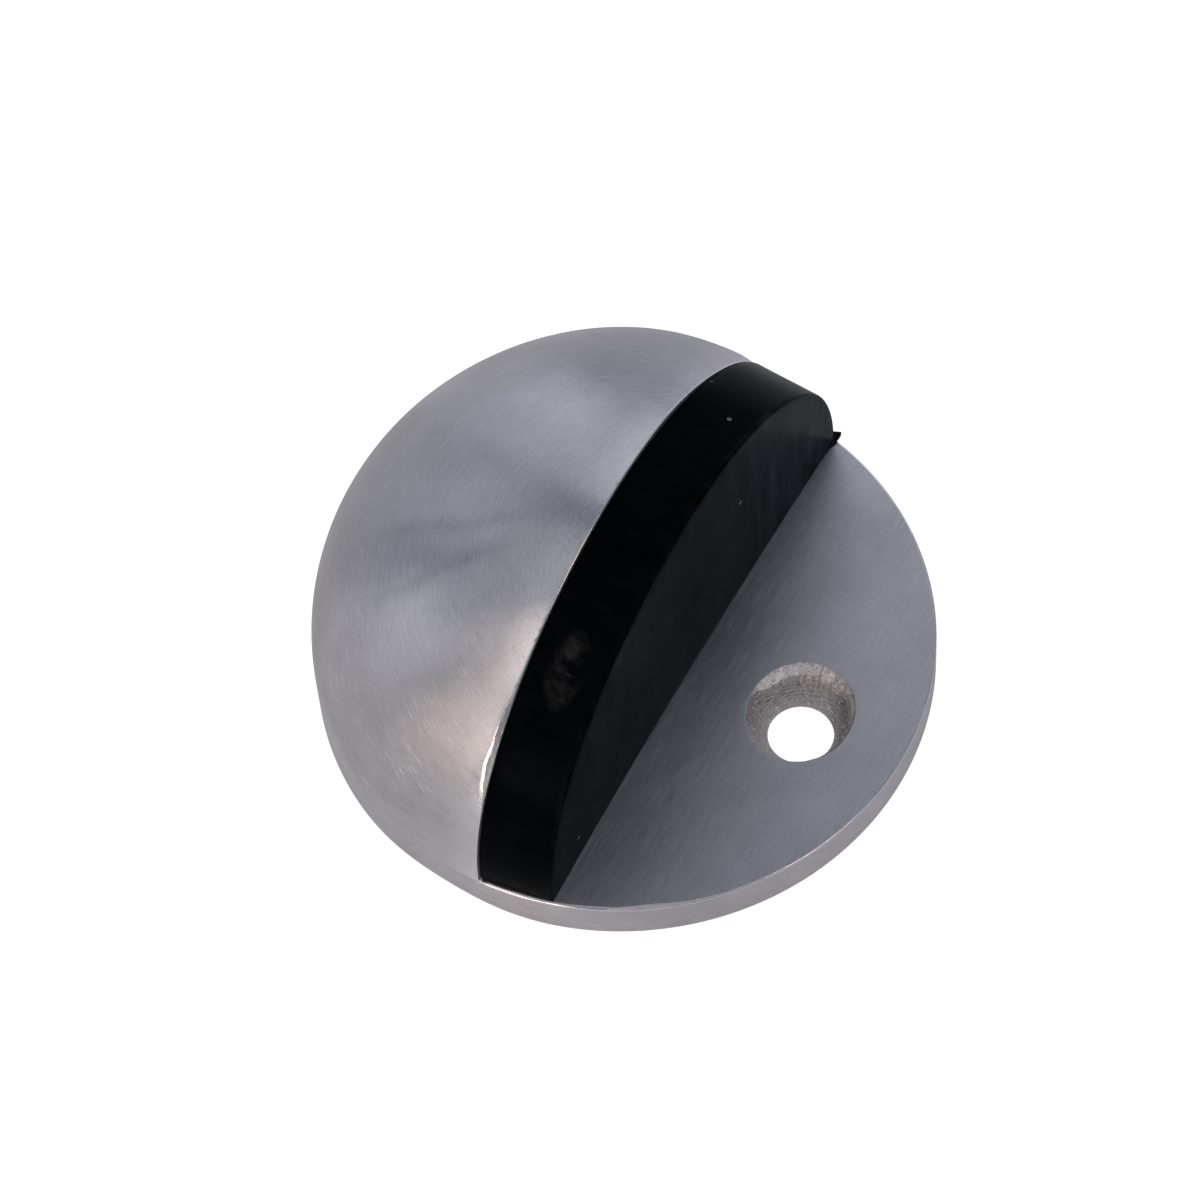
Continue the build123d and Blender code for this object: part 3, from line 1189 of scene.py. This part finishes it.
def make_floor():
    """A plain pale sheet under the foot. It glows a little, as backlit paper does, so shadows stay faint."""
    grid = bmesh.new()
    bmesh.ops.create_grid(grid, x_segments=1, y_segments=1, size=FLOOR_HALF)
    mesh = bpy.data.meshes.new("floor")
    grid.to_mesh(mesh)
    grid.free()
    floor = new_object("floor", mesh)
    floor.location.z = -FLOOR_GAP
    nodes = material_nodes("pale_floor")
    mesh.materials.append(nodes.finish({
        "Base Color": grey(0.5),
        "Roughness": 0.9,
        "Specular IOR Level": 0.0,
        "Emission Color": grey(1.0),
        "Emission Strength": camera_or_object(nodes, FLOOR_WHITE, FLOOR_GLOW),
    }))


def make_world():
    """A dim, slightly blue studio, which the camera sees as the same plain white as the floor."""
    world = bpy.data.worlds.new("studio")
    bpy.context.scene.world = world
    nodes = Nodes(world, "Background")
    ray = nodes.node("LightPath").outputs["Is Camera Ray"]
    nodes.finish({
        "Color": nodes.mix(ray, grey(1.0, -0.15), grey(1.0)),
        "Strength": camera_or_object(nodes, SKY_WHITE, SKY_DIM),
    })


def direction(azimuth, elevation):
    """Unit vector from the object. Azimuth 0 is at -Y and 90 at +X, as for the views."""
    turn, rise = radians(azimuth), radians(elevation)
    return Vector((sin(turn) * cos(rise), -cos(turn) * cos(rise), sin(rise)))


def soft_box(name, azimuth, elevation, half_angle, level, warmth=0.0):
    """A round soft lamp that faces the object and fills a cone of half_angle, as seen from there."""
    back = direction(azimuth, elevation)
    lamp = bpy.data.lights.new(name, "AREA")
    lamp.shape = "DISK"
    lamp.size = 2 * LAMP_DISTANCE * tan(radians(half_angle))
    lamp.energy = level * pi * pi * (lamp.size / 2) ** 2
    lamp.color = grey(1.0, warmth)[:3]
    made = new_object(name, lamp)
    made.location = back * LAMP_DISTANCE
    made.rotation_mode = "QUATERNION"
    made.rotation_quaternion = (-back).to_track_quat("-Z", "Y")


# The camera's angles are in degrees. Its aim is shifted in its own plane, in metres.
CAMERA_AZIMUTH = 32.74
CAMERA_ELEVATION = 58.90
CAMERA_ROLL = -4.89
CAMERA_DISTANCE = 0.38144
CAMERA_LENS = 157.3
AIM_RIGHT = -0.00191
AIM_UP = 0.00420


def make_camera():
    """A long-lens camera above the plate's near side, rolled a little."""
    back = direction(CAMERA_AZIMUTH, CAMERA_ELEVATION)
    roll = radians(CAMERA_ROLL)
    right = (-back).cross(UPRIGHT).normalized()
    up = right.cross(-back)
    rolled_right = right * cos(roll) + up * sin(roll)
    rolled_up = up * cos(roll) - right * sin(roll)
    data = bpy.data.cameras.new("camera")
    data.lens = CAMERA_LENS
    data.sensor_width = 36
    data.clip_start, data.clip_end = 0.01, 20
    camera = new_object("camera", data)
    camera.rotation_mode = "QUATERNION"
    axes = Matrix((rolled_right, rolled_up, back)).transposed()
    camera.rotation_quaternion = axes.to_quaternion()
    camera.location = back * CAMERA_DISTANCE + rolled_right * AIM_RIGHT + rolled_up * AIM_UP
    bpy.context.scene.camera = camera


make_floor()
make_world()
for lamp in LAMPS:
    soft_box(*lamp)
make_camera()
bpy.context.scene.view_settings.view_transform = "Standard"
